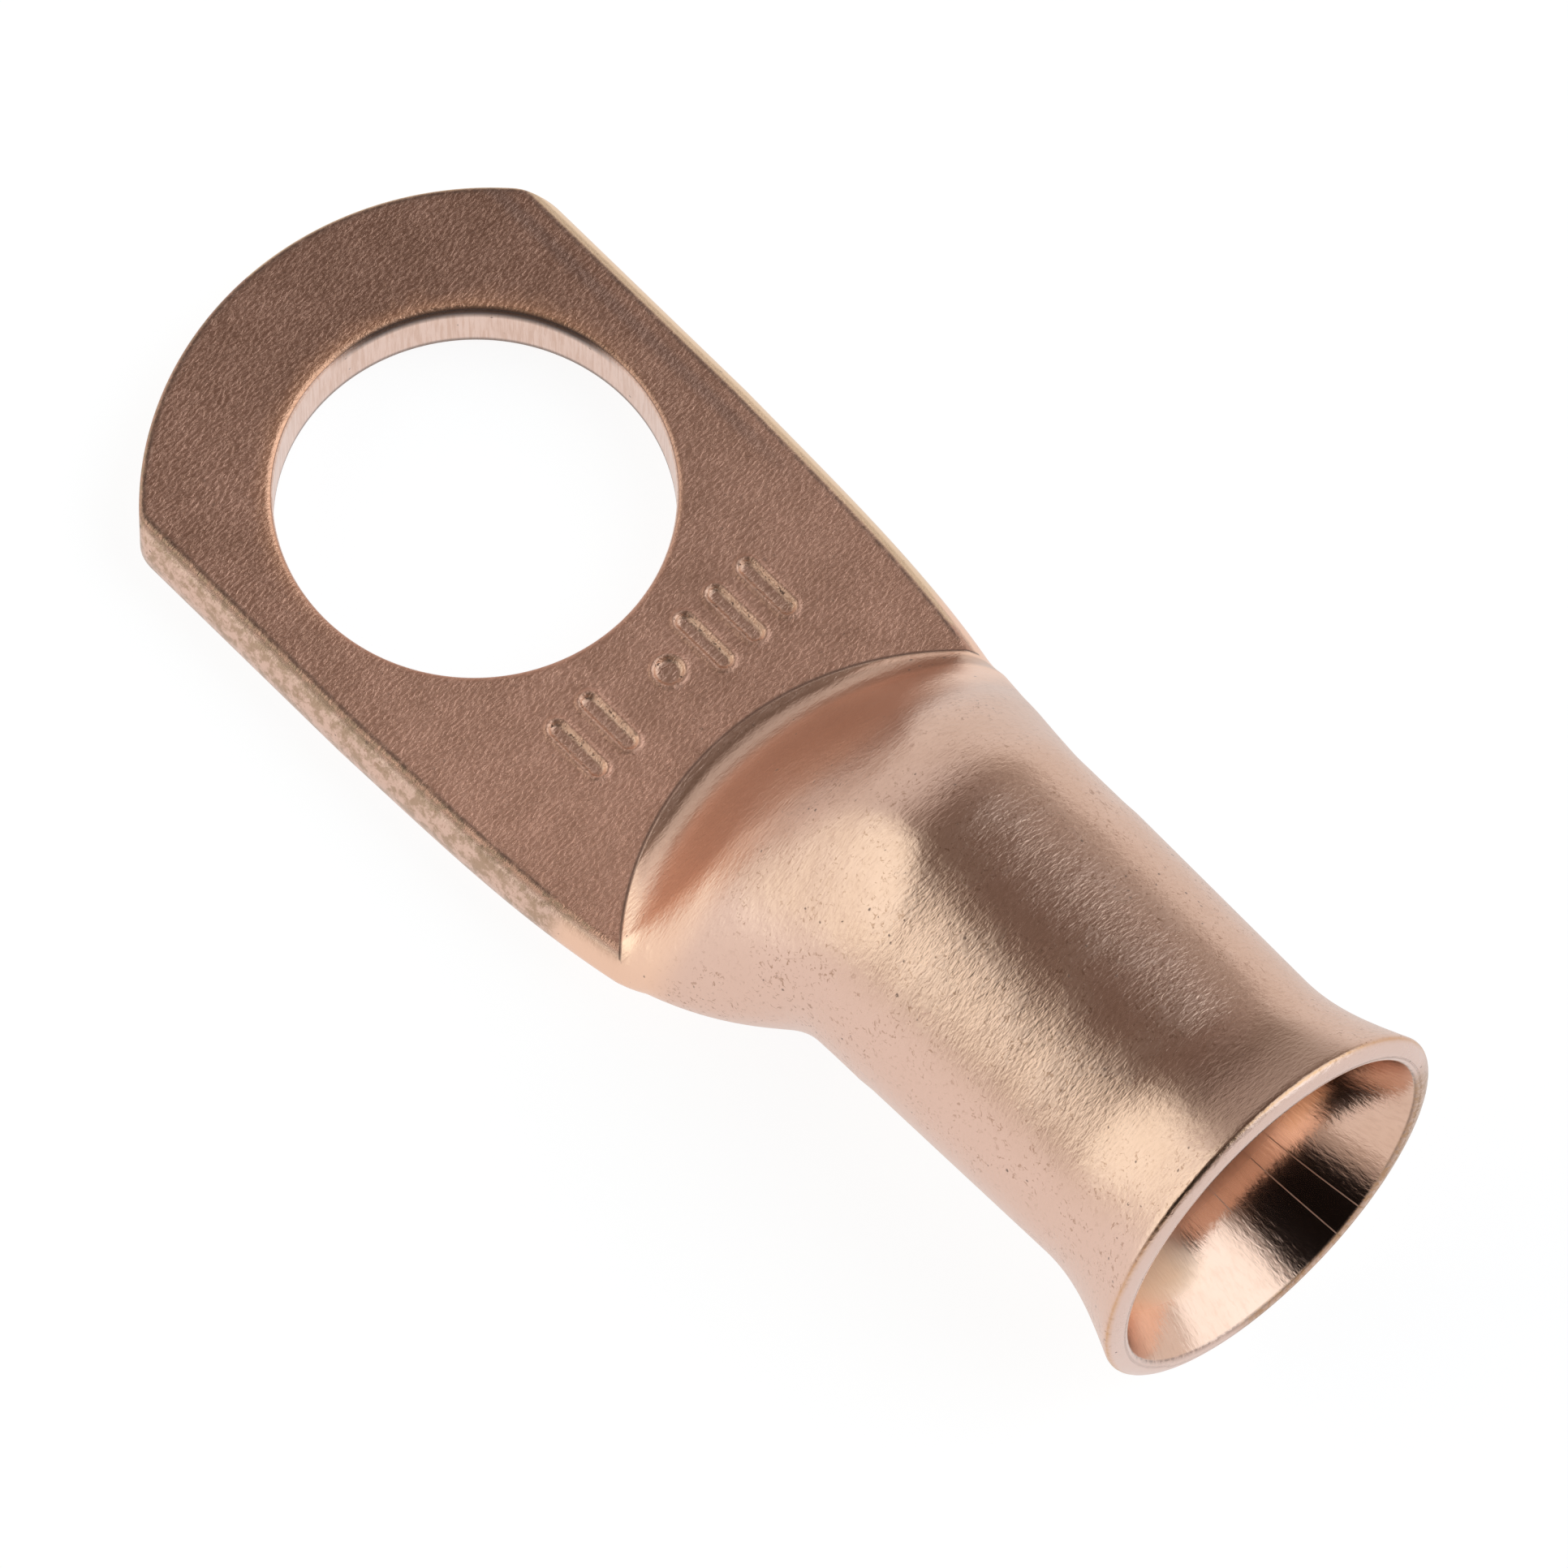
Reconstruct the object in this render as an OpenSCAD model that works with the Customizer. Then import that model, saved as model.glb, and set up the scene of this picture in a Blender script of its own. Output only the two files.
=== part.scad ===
// Copper cable lug: a tube with one end pressed flat into a palm with a stud hole, and
// the other left round for the cable, with a flared mouth. The origin is the centre of the
// stud hole on the palm's underside. X runs along the barrel towards the mouth and Z is up.

/* [Palm] */
// Diameter of the stud hole
hole_d = 8.4; // [6:0.1:9]
// Width of the palm across its bulged sides
palm_w = 11.7; // [11:0.1:13]
// How far each side bulges past the flat faces
edge_bulge = 0.42; // [0.2:0.02:0.6]
// Distance from the hole's centre to the tip
tip_reach = 6.9; // [6:0.1:8]
// Radius of the rounded tip, seen from above
tip_r = 7.3; // [6.6:0.1:9]

/* [Shoulder] */
// Distance from the hole's centre to the middle of the curved shoulder
shoulder_x = 7.7; // [6.8:0.1:9]
// Radius of the curved shoulder, seen from above
shoulder_r = 6.5; // [6.4:0.1:9]
// How far past the shoulder the straight slope would meet the palm, if nothing curved up to it
foot_run = 0.45; // [0.3:0.05:0.8]
// How late the foot of the slope curves up, as a power
foot_power = 2; // [2:0.2:4]
// How far short of the round barrel the crest of the slope levels out
crest_gap = 0.05; // [0:0.05:1]
// How softly the crest rounds over
crest_round = 0.35; // [0.2:0.05:0.6]
// How soon the slope rounds over from side to side, where 1 rounds it evenly as it rises
crown_power = 1.6; // [1:0.1:3]

/* [Flanks] */
// Distance from the hole's centre to where the palm starts to narrow
taper_start = 3; // [1:0.5:6]
// How much each side of the palm comes in for each millimetre past there
palm_taper = 0.025; // [0:0.005:0.04]
// How late the flanks close in on the barrel, where a higher power closes them later
taper_power = 3.4; // [2:0.2:5]
// How softly the flanks run out into the round barrel
run_out = 0.2; // [0.05:0.05:0.4]
// How late the widest line climbs from the palm's sides to the barrel's, as a power
side_power = 1.5; // [1:0.1:2]

/* [Barrel] */
// Distance from the hole's centre to the start of the round barrel
barrel_start = 14.4; // [13:0.1:16]
// Length of the round barrel, with its flared mouth
barrel_len = 9.7; // [8:0.1:20]
// Outside diameter of the tube
barrel_od = 7.9; // [7.2:0.1:8.6]
// Wall thickness of the tube
wall = 0.75; // [0.5:0.05:0.9]
// How much narrower the barrel has drawn just before the flare
waist_draw = 0.18; // [0:0.02:0.3]

/* [Mouth] */
// Outside diameter of the flared lip
flare_od = 9.16; // [8.6:0.02:10]
// Length of the flare
flare_len = 2.9; // [2:0.1:4]
// Thickness of the drawn-out lip
lip_t = 0.55; // [0.4:0.05:0.7]
// How far the lip's edge is rounded
lip_round = 0.15; // [0.05:0.05:0.3]

/* [Hidden] */

// Both walls of the tube, pressed together
palm_t = 2 * wall;
barrel_r = barrel_od / 2;
bore_r = barrel_r - wall;
mouth_x = barrel_start + barrel_len;
flare_start = mouth_x - flare_len;
// Angle of the flared wall at the lip, which its edge is square to
lip_angle = atan((flare_od / 2 - barrel_r) * PI / 2 / flare_len);
// Where the flanks reach the barrel's width, before their soft run-out
taper_end = taper_start + (barrel_start - taper_start) / (1 + run_out) ^ (1 / taper_power);
// Where the straight slope would meet the palm, and where the curve of its foot ends
foot_x = shoulder_x + foot_run;
foot_end = shoulder_x + foot_run * foot_power / (foot_power - 1);
// Length over which the slope would rise to the crest if nothing rounded it over
slope_run = (barrel_start - crest_gap - foot_x) / (1 + crest_round);
slope_angle = atan((barrel_od - palm_t) / slope_run);
// Where the two pressed walls part, a wall's thickness inside the slope's foot
hollow_start = foot_x + wall * tan(slope_angle / 2);
// Length over which the hollow opens from nothing to its first section
hollow_lead = 0.1;
// The lofted shapes end this much inside the round ones that carry them on
seat = 0.02;
// How far the lofted shapes run on into the round ones
lap = 0.2;
// Overshoot of a cutting shape past the face that it cuts
over = 1;
ring_points = 72;
palm_rings = 4;
foot_rings = 5;
slope_rings = 16;
flare_steps = 8;
lip_steps = 6;

function mix(a, b, t) = a + (b - a) * t;

// Follows v up to about 1 and stays at 1 after it, rounded over k on either side
function level_off(v, k) =
    v <= 1 - k ? v
    : v >= 1 + k ? 1
    : 1 - (1 + k - v) ^ 2 / (4 * k);

// How far the tube has opened at x, from the flat palm, 0, to the round barrel, 1
function opening(x) =
    level_off(max(0, (x - taper_start) / (taper_end - taper_start)) ^ taper_power, run_out);

// Rise of the tube's top line from a sharp foot at x0, 0, to the crest, 1
function rise(x, x0) = level_off(max(0, x - x0) / slope_run, crest_round);

// The same for the outside, which curves up from the shoulder
function pressed_rise(x) =
    x >= foot_end ? rise(x, foot_x)
    : rise(foot_end, foot_x) * (max(0, x - shoulder_x) / (foot_end - shoulder_x)) ^ foot_power;

// How far the curved shoulder falls back at y from its middle
function set_back(y) = shoulder_r - sqrt(shoulder_r ^ 2 - y ^ 2);

// Share of that curve which a section at station x keeps: all of it up to the shoulder and
// none at the barrel
function curve_share(x) =
    min(1, max(0, (barrel_start - x) / (barrel_start - shoulder_x)));

// Half width of the tube at x, less an inset for the inside of its wall
function half_width(x, inset) =
    mix(palm_w / 2 - palm_taper * max(0, x - taper_start), barrel_r - seat, opening(x))
    - inset;

// Place along the tube of the point at share s of the half width, on a section that curves
// with the shoulder
function along(station, s, inset) =
    let (
        first_x = station + curve_share(station) * set_back(half_width(station, inset) * s),
        y = half_width(first_x, inset) * s
    )
    station + curve_share(station) * set_back(y);

// One section of the tube, as points round it. The palm's flat faces with elliptical sides
// grow into a circle: the upper face with the rise of the slope, the lower one with the
// opening. An inset of one wall gives the hollow.
function section(station, inset) = [
    for (i = [0 : ring_points - 1])
        let (
            angle = 360 * i / ring_points,
            is_top = angle <= 180,
            lift = inset > 0 ? rise(station, hollow_start) : pressed_rise(station),
            x = along(station, cos(angle), inset),
            half = half_width(x, inset),
            face = half - edge_bulge,
            flat = face * (is_top ? (1 - lift) ^ crown_power : 1 - opening(x)),
            crest_z = mix(palm_t, barrel_od - seat, lift) - inset,
            floor_z = mix(0, seat, opening(x)) + inset,
            side_z = mix(palm_t / 2, barrel_r, opening(x) ^ side_power),
            mid_z = min(side_z, (crest_z + floor_z) / 2),
            y = half * cos(angle),
            bend = max(0, abs(y) - flat) / (half - flat),
            reach = sqrt(max(0, 1 - bend ^ 2))
        )
        [x, y, mix(mid_z, is_top ? crest_z : floor_z, reach)]
];

// Solid through a list of sections, each with ring_points points
module loft(sections) {
    n = ring_points;
    last = len(sections) - 1;
    sides = [
        for (k = [0 : last - 1], i = [0 : n - 1])
            let (a = k * n + i, b = k * n + (i + 1) % n)
            each [[a, a + n, b + n], [a, b + n, b]]
    ];
    // An end is closed by upright strips, because its section curves with the shoulder
    start_cap = [
        for (i = [0 : n / 2 - 1])
            each [
                if (i < n / 2 - 1) [i, i + 1, n - i - 1],
                if (i > 0) [i, n - i - 1, n - i]
            ]
    ];
    end_cap = [for (f = start_cap) [for (i = [2 : -1 : 0]) f[i] + last * n]];
    polyhedron(
        points = [for (s = sections) each s],
        faces = concat(sides, start_cap, end_cap)
    );
}

// Outside of the palm and of the slope up to the barrel
module skin() {
    palm_start = -tip_reach - set_back(palm_w / 2) - over;
    palm = [
        palm_start,
        for (k = [0 : palm_rings - 1]) mix(taper_start, shoulder_x, k / palm_rings)
    ];
    foot = [for (k = [0 : foot_rings - 1]) mix(shoulder_x, foot_end, k / foot_rings)];
    slope = [for (k = [0 : slope_rings]) mix(foot_end, barrel_start + lap, k / slope_rings)];
    loft([for (station = concat(palm, foot, slope)) section(station, 0)]);
}

// Room between the two walls, from where they part to just inside the straight bore
module hollow() {
    first = hollow_start + hollow_lead;
    last = barrel_start + 2 * lap;
    slope = [for (k = [0 : slope_rings]) mix(first, last, k / slope_rings)];
    loft([for (station = slope) section(station, wall)]);
}

// Space that the rounded tip keeps of the palm
module tip_outline() {
    translate([tip_r - tip_reach, 0, -over]) cylinder(r = tip_r, h = palm_t + 2 * over, $fn = 120);
    translate([tip_r - tip_reach, -palm_w, -over])
        cube([mouth_x, 2 * palm_w, barrel_od + 2 * over]);
}

// Point on the flared wall, on its outer face where side is 1 and on its inner one where it
// is -1. Share 0 is at the waist and 1 at the lip, along a quarter wave that ends steepest.
function flare_point(share, side) =
    let (
        waist_r = side > 0 ? barrel_r - waist_draw / 2 : bore_r,
        lip = lip_point(90 * side)
    )
    [mix(flare_start, lip[0], share), mix(waist_r, lip[1], 1 - cos(90 * share))];

// Point on the rounded edge of the lip, from the inner face, -90, to the outer one, 90
function lip_point(angle) =
    let (
        out = lip_round * cos(angle),
        up = lip_t / 2 * sin(angle)
    )
    [
        mouth_x - norm([lip_round * cos(lip_angle), lip_t / 2 * sin(lip_angle)])
            + out * cos(lip_angle) - up * sin(lip_angle),
        flare_od / 2 - norm([lip_round * sin(lip_angle), lip_t / 2 * cos(lip_angle)])
            + out * sin(lip_angle) + up * cos(lip_angle)
    ];

// Wall of the round barrel with its flared mouth, turned about the barrel's axis
module barrel() {
    profile = concat(
        [[barrel_start, bore_r], [barrel_start, barrel_r]],
        [for (k = [0 : flare_steps]) flare_point(k / flare_steps, 1)],
        [for (k = [1 : lip_steps - 1]) lip_point(90 - 180 * k / lip_steps)],
        [for (k = [flare_steps : -1 : 0]) flare_point(k / flare_steps, -1)]
    );
    translate([0, 0, barrel_r])
        rotate([0, 90, 0])
        rotate_extrude($fn = 120)
        polygon([for (p = profile) [p[1], p[0]]]);
}

module lug() {
    color("#b87a5e")
    difference() {
        union() {
            intersection() {
                skin();
                tip_outline();
            }
            barrel();
        }
        hollow();
        translate([0, 0, -over]) cylinder(d = hole_d, h = palm_t + 2 * over, $fn = 120);
    }
}

lug();
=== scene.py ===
"""Copper cable lug: a detailed mesh of the whole lug on the CAD frame, its copper, the light and the camera.

The mesh is worked out in millimetres and scaled to metres when it is made."""
import math
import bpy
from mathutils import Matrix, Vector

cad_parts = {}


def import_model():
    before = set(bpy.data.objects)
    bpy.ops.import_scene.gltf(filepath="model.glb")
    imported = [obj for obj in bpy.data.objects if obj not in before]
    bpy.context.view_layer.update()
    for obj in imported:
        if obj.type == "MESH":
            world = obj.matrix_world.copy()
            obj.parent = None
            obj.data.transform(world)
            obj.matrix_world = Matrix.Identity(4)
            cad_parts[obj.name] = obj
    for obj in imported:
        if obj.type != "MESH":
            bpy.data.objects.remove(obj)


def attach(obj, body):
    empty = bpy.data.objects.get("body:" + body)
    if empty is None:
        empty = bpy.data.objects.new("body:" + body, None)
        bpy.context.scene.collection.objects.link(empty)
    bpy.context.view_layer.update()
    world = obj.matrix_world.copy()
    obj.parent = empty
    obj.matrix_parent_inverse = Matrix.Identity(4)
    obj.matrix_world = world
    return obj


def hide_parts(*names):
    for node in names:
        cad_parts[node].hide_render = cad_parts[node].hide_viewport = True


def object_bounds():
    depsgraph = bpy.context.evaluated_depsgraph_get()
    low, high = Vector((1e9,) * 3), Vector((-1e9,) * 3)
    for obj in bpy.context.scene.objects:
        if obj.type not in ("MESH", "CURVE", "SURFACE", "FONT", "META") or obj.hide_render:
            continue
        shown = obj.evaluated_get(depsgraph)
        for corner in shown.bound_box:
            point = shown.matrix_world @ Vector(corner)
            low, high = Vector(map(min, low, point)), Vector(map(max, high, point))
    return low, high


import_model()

from types import SimpleNamespace

import bmesh
import bpy
import numpy as np
from mathutils import Matrix, Vector
from mathutils.geometry import delaunay_2d_cdt

cad_lo, cad_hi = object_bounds()
MM = 0.001

# Sizes of the lug in millimetres. They start from the CAD's, and some were fitted further to the photo.
# The near side is the one of negative Y, nearer to the camera, and the far side is the other.
MOUTH_X = cad_hi.x / MM
TIP_REACH = -cad_lo.x / MM
FLARE_OD = (cad_hi.z - cad_lo.z) / MM
HOLE_R = 4.2
PALM_W = 11.7
EDGE_BULGE = 0.42
TIP_R = 7.3
SHOULDER_X = 7.62     # the pressed crease, a little flatter in its curve than the CAD's
SHOULDER_R = 7.0
FOOT_X = 8.3          # where the line of the straight slope meets the palm
FOOT_DELAY = 0.25     # in the middle the foot curves up this far past the crease
FOOT_KINK = 0.15      # share of the slope that the foot takes at once
NEAR_KINK = 0.18      # and how much more it takes at its near end,
NEAR_LEVEL = 0.35     # where it holds that slope for this long
CREST_END = 14.75     # the crest is level from here
CREST_ROUND = 0.45
CREST_SKEW = 0.9      # how much further along the crest comes on the near side
TAPER_START = 3.1
TAPER_POWER = 3.37
RUN_OUT = 0.13
PALM_TAPER = 0.026
PALM_TAPER_START = 2.0
SIDE_POWER = 1.54
SIDE_KINK = 0.7       # how crisply the palm's upper edge turns over
CROWN_POWER = 1.5
PLATEAU = 0.25        # how wide the slope's top stays flat towards the crest
PLATEAU_LIFT = (0.4, 0.8)   # shares of the rise between which it comes in
KINK_LIFT = (0.0, 0.12)     # shares between which the palm's crisp upper edge goes out
SOFT_LIFT = (0.1, 0.5)      # shares between which the widest line softens
FLANK_EASE = 0.18
MID_SOFT = 0.4        # how softly the widest line gives way to half of the crest's height
PALM_SHIFT = (0.08, 0.02)   # the hole is off the palm's middle by this, at the tip and at the shoulder
MARK_SHIFT = 0.02           # the mask of the die marks moves by this much with it
MOUTH_TILT = 0.028          # the lip is cut this much out of square,
MOUTH_SHIFT = 0.05          # and lies this much to the near side
GABLE, GABLE_X = 0.08, 14.8  # the barrel's near shoulder is flattened by this much, most of all there,
GABLE_REACH = (2.5, 2.2)    # over about this length before and after it
BARREL_START = 14.4
BARREL_OD = 7.9
WALL = 0.75
WAIST_DRAW = 0.18
FLARE_LEN = 2.9
LIP_T = 0.55
LIP_ROUND = 0.15
TIP_START = -2.0      # where the palm's straight sides end and the outline of its tip begins

# Plain die marks on the palm, between the hole and the shoulder
BAR_X = (5.15, 6.35)
BAR_Y = (2.9, 2.0, 1.1, -1.6, -2.5)
BAR_HALF = 0.17
DOT = (5.75, 0.1)
DOT_R = 0.3
MARK_DEPTH = 0.09
MARK_BURR = 0.035     # height of the burr round each mark
MARK_ZONE = (4.7, 6.85, -3.3, 3.5)

PALM_T = 2 * WALL
BARREL_R = BARREL_OD / 2
BORE_R = BARREL_R - WALL
FLARE_START = MOUTH_X - FLARE_LEN
LIP_ANGLE = math.atan((FLARE_OD / 2 - BARREL_R) * math.pi / 2 / FLARE_LEN)
TAPER_END = TAPER_START + (BARREL_START - TAPER_START) / (1 + RUN_OUT) ** (1 / TAPER_POWER)
SLOPE_RUN = (CREST_END - FOOT_X) / (1 + CREST_ROUND)
ROUND_X = CREST_END + CREST_SKEW
SLOPE_ANGLE = math.atan((BARREL_OD - PALM_T) / SLOPE_RUN)
HOLLOW_START = FOOT_X + WALL * math.tan(SLOPE_ANGLE / 2)
HOLLOW_END = HOLLOW_START + CREST_END - FOOT_X

# How finely the mesh is cut
N = 320        # points round the tube
EDGE = 20      # points from the middle of the palm's side to the edge of a flat face
JOIN_X = 6.9   # where the tube's rings take over from the palm


# ---------------------------------------------------------------- the tube's form

def mix(a, b, t):
    return a + (b - a) * t


def step(v, a, b):
    t = np.clip((v - a) / (b - a), 0, 1)
    return t * t * (3 - 2 * t)


def level_off(v, k):
    return np.where(v <= 1 - k, v, np.where(v >= 1 + k, 1.0, 1 - (1 + k - v) ** 2 / (4 * k)))


def opening(x):
    v = np.maximum(0, (x - TAPER_START) / (TAPER_END - TAPER_START)) ** TAPER_POWER
    return level_off(v, RUN_OUT)


def rise(x, foot):
    """Height of the slope above the palm as a share of its whole, from a sharp foot"""
    return level_off(np.maximum(0, x - foot) / SLOPE_RUN, CREST_ROUND)


def pressed_rise(x, y):
    """rise() for the outside, which curves up from near the shoulder"""
    start = SHOULDER_X + FOOT_DELAY * (1 - step(np.abs(y), 2, 4))
    near = step(-y, 2.5, 4)
    kink = FOOT_KINK + NEAR_KINK * near
    level = NEAR_LEVEL * near
    length = 2 * (FOOT_X - start) / (1 - kink) - level
    run = np.maximum(0, x - start)
    curved = np.maximum(0, run - level)
    foot = (run * kink + (1 - kink) * curved ** 2 / (2 * (length - level))) / SLOPE_RUN
    skew = CREST_SKEW * step(-y, 0.5, 3) * step(x, FOOT_X + 1.5, CREST_END - 1)
    return np.where(run < length, foot, rise(x - skew, FOOT_X))


def set_back(y):
    return SHOULDER_R - np.sqrt(SHOULDER_R ** 2 - y ** 2)


def curve_share(x):
    return np.clip((BARREL_START - x) / (BARREL_START - SHOULDER_X), 0, 1)


def half_width(x, inset):
    palm = PALM_W / 2 - PALM_TAPER * np.maximum(0, x - PALM_TAPER_START)
    return mix(palm, BARREL_R, opening(x)) - inset


def heights(x, y, half, lift, top, inset=0.0):
    """Heights of points on the upper or lower face of a section, softer than the CAD's where parts meet"""
    open_x = opening(x)
    level = (1 - lift) ** CROWN_POWER + PLATEAU * step(lift, *PLATEAU_LIFT) * np.sqrt(1 - lift)
    flat = (half - EDGE_BULGE) * np.where(top, level, 1 - open_x)
    crest = mix(PALM_T, BARREL_OD, lift) - inset
    side, middle = mix(PALM_T / 2, BARREL_R, open_x ** SIDE_POWER), (crest + inset) / 2
    soft = 0.001 + MID_SOFT * step(lift, *SOFT_LIFT)
    blend = np.maximum(0, 1 - np.abs(side - middle) / soft)
    mid = np.minimum(side, middle) - soft * blend ** 2 / 4
    bend = np.maximum(0, np.abs(y) - flat) / (half - flat)
    power = np.where(top, 2 - FLANK_EASE * 4 * open_x * (1 - open_x), 2)
    kink = power - np.where(top, SIDE_KINK * (1 - step(lift, *KINK_LIFT)), 0) * (inset == 0)
    reach = np.maximum(0, 1 - bend ** kink) ** (1 / power)
    return mid + (np.where(top, crest, inset) - mid) * reach


def ring(station, inset=0.0):
    """One section of the tube, N points from its far side over the top"""
    c = np.cos(2 * np.pi * np.arange(N) / N)
    top = np.arange(N) <= N // 2
    share = curve_share(station)
    first = station + share * set_back(half_width(station, inset) * c)
    x = station + share * set_back(half_width(first, inset) * c)
    half = half_width(x, inset)
    y = half * c
    lift = rise(station, HOLLOW_START) if inset else pressed_rise(station, y)
    return np.stack([x, y, heights(x, y, half, lift, top, inset)], axis=1)


def round_ring(x, r):
    angle = 2 * np.pi * np.arange(N) / N
    return np.stack([np.full(N, x), r * np.cos(angle), BARREL_R + r * np.sin(angle)], axis=1)


def lip_point(angle):
    out, up = LIP_ROUND * math.cos(angle), LIP_T / 2 * math.sin(angle)
    c, s = math.cos(LIP_ANGLE), math.sin(LIP_ANGLE)
    return (
        MOUTH_X - math.hypot(LIP_ROUND * c, LIP_T / 2 * s) + out * c - up * s,
        FLARE_OD / 2 - math.hypot(LIP_ROUND * s, LIP_T / 2 * c) + out * s + up * c,
    )


def flare_ring(share, side):
    lip = lip_point(math.pi / 2 * side)
    waist = BARREL_R - WAIST_DRAW / 2 if side > 0 else BORE_R
    r = mix(waist, lip[1], 1 - math.cos(math.pi / 2 * share))
    return round_ring(mix(FLARE_START, lip[0], share), r)


def tube_rings():
    """Rings over the outside from the palm to the lip, and back inside to where the walls meet"""
    crease, foot = 0.1, 0.6    # half the length of the finest rings, and how far the fine ones go on
    stations = [
        *np.linspace(JOIN_X, SHOULDER_X - crease, 7)[:-1],
        *np.linspace(SHOULDER_X - crease, SHOULDER_X + crease, 11)[:-1],
        *np.linspace(SHOULDER_X + crease, FOOT_X + foot, 26)[:-1],
        *np.linspace(FOOT_X + foot, ROUND_X, 66),
    ]
    rings = [ring(s) for s in stations]
    for x in np.linspace(ROUND_X, FLARE_START, 16)[1:-1]:
        r = mix(BARREL_R, BARREL_R - WAIST_DRAW / 2, (x - ROUND_X) / (FLARE_START - ROUND_X))
        rings.append(round_ring(x, r))
    rings += [flare_ring(s, 1) for s in np.linspace(0, 1, 18)]
    rings += [round_ring(*lip_point(a)) for a in np.linspace(math.pi / 2, -math.pi / 2, 13)[1:-1]]
    rings += [flare_ring(s, -1) for s in np.linspace(1, 0, 16)]
    rings += [round_ring(x, BORE_R) for x in np.linspace(FLARE_START, HOLLOW_END, 8)[1:-1]]
    for s in np.linspace(HOLLOW_END, HOLLOW_START + 0.06, 30):
        rings.append(ring(s, WALL))
    return rings


# ---------------------------------------------------------------- the palm's edge and flat faces

ROWS = np.arange(-EDGE, EDGE + 1)       # from the edge of the lower face up to that of the upper
ROW_COS = np.cos(2 * np.pi * ROWS / N)


def edge_heights(x, half):
    return heights(x, half * ROW_COS, half, 0.0, ROWS >= 0)


def side_columns():
    """Columns of points along the palm's far side, from the first ring back to TIP_START"""
    first_x = ring(JOIN_X)[EDGE][0]
    columns = []
    for x_top in np.linspace(first_x, TIP_START, 56)[1:]:
        slant = max(0.0, (x_top - TIP_START) / (first_x - TIP_START))
        y = half_width(x_top, 0) * ROW_COS
        x = x_top + slant * (set_back(y) - set_back(y[-1]))
        half = half_width(x, 0)
        columns.append(np.stack([x, half * ROW_COS, edge_heights(x, half)], axis=1))
    return columns


def tip_columns():
    """Columns round the sheared tip, from the far side at TIP_START to the near one"""
    half = PALM_W / 2
    z = edge_heights(TIP_START, half)
    round_r = 0.1
    corner = 0.2    # how softly the tip meets the sides
    near = np.maximum(0, np.abs(z - PALM_T / 2) - (PALM_T / 2 - round_r))
    pull_in = round_r - np.sqrt(np.maximum(0, round_r ** 2 - near ** 2))

    def outline(theta):
        c, s = math.cos(theta), abs(math.sin(theta))
        to_side = half * ROW_COS / max(s, 1e-6)
        shift = TIP_R - TIP_REACH - TIP_START
        tip = TIP_R - pull_in
        to_tip = shift * c + np.sqrt(tip ** 2 - (shift * s) ** 2)
        h = np.maximum(corner - np.abs(to_side - to_tip), 0) / corner
        r = np.minimum(to_side, to_tip) - h * h * corner / 4
        return np.stack([TIP_START + r * c, r * math.sin(theta), z], axis=1)

    dense = np.linspace(math.pi / 2, 3 * math.pi / 2, 2001)
    mid = np.array([outline(t)[EDGE] for t in dense])
    run = np.concatenate([[0], np.cumsum(np.linalg.norm(np.diff(mid, axis=0), axis=1))])
    thetas = np.interp(np.linspace(0, run[-1], 150), run, dense)[1:-1]
    return [outline(t) for t in thetas]


def hole_profile():
    """(radius, height) from the lower rim of the stud hole to its rolled upper rim"""
    low, roll = 0.07, 0.16
    points = [
        (HOLE_R + low * (1 - math.sin(a)), low * (1 - math.cos(a)))
        for a in np.linspace(0, math.pi / 2, 5)
    ]
    points += [(HOLE_R, z) for z in np.linspace(low, PALM_T - roll, 7)[1:-1]]
    points += [
        (HOLE_R + roll * (1 - math.cos(a)), PALM_T - roll * (1 - math.sin(a)))
        for a in np.linspace(0, math.pi / 2, 9)
    ]
    return points


def marks():
    """Capsules (x0, y0, x1, y1, half width) of the die marks"""
    bars = [(BAR_X[0], y, BAR_X[1], y, BAR_HALF) for y in BAR_Y]
    return [*bars, (*DOT, *DOT, DOT_R)]


def mark_distance(x, y):
    """How far a point of the palm is from the nearest die mark's outline, less than 0 within it"""
    d = np.full(x.shape, 9.0)
    for x0, y0, x1, y1, w in marks():
        length = math.hypot(x1 - x0, y1 - y0)
        t = np.clip((x - x0) / length, 0, 1) if length else 0
        d = np.minimum(d, np.hypot(x - mix(x0, x1, t), y - y0) - w)
    return d


def edge_distance(x, y):
    """How far a point of the palm's top is inside the edge of its flat face"""
    shift = np.interp(x, (-TIP_REACH, SHOULDER_X), PALM_SHIFT)
    side = half_width(x, 0) - EDGE_BULGE - np.abs(y - shift)
    tip = TIP_R - 0.1 - np.hypot(x - TIP_R + TIP_REACH, y - shift)
    return np.minimum(side, np.where(x < 0, tip, 9))


def mark_height(x, y):
    d = mark_distance(x, y)
    sunk = np.clip((0.05 - d) / 0.12, 0, 1)
    sunk = sunk * sunk * (3 - 2 * sunk)
    return -MARK_DEPTH * sunk + MARK_BURR * np.exp(-((d - 0.07) / 0.05) ** 2)


def inside(points, loop):
    """Which points lie inside a closed loop"""
    x, y = points[:, :1], points[:, 1:2]
    x0, y0 = loop[:, 0], loop[:, 1]
    x1, y1 = np.roll(x0, -1), np.roll(y0, -1)
    crosses = (y0 > y) != (y1 > y)
    with np.errstate(divide="ignore", invalid="ignore"):
        at = x0 + (y - y0) / (y1 - y0) * (x1 - x0)
    return (crosses & (x < at)).sum(axis=1) % 2 == 1


def shrunk(loop, by):
    tangent = np.roll(loop, -1, axis=0) - np.roll(loop, 1, axis=0)
    tangent /= np.linalg.norm(tangent, axis=1)[:, None]
    normal = np.stack([-tangent[:, 1], tangent[:, 0]], axis=1)
    return loop + normal * by


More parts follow.
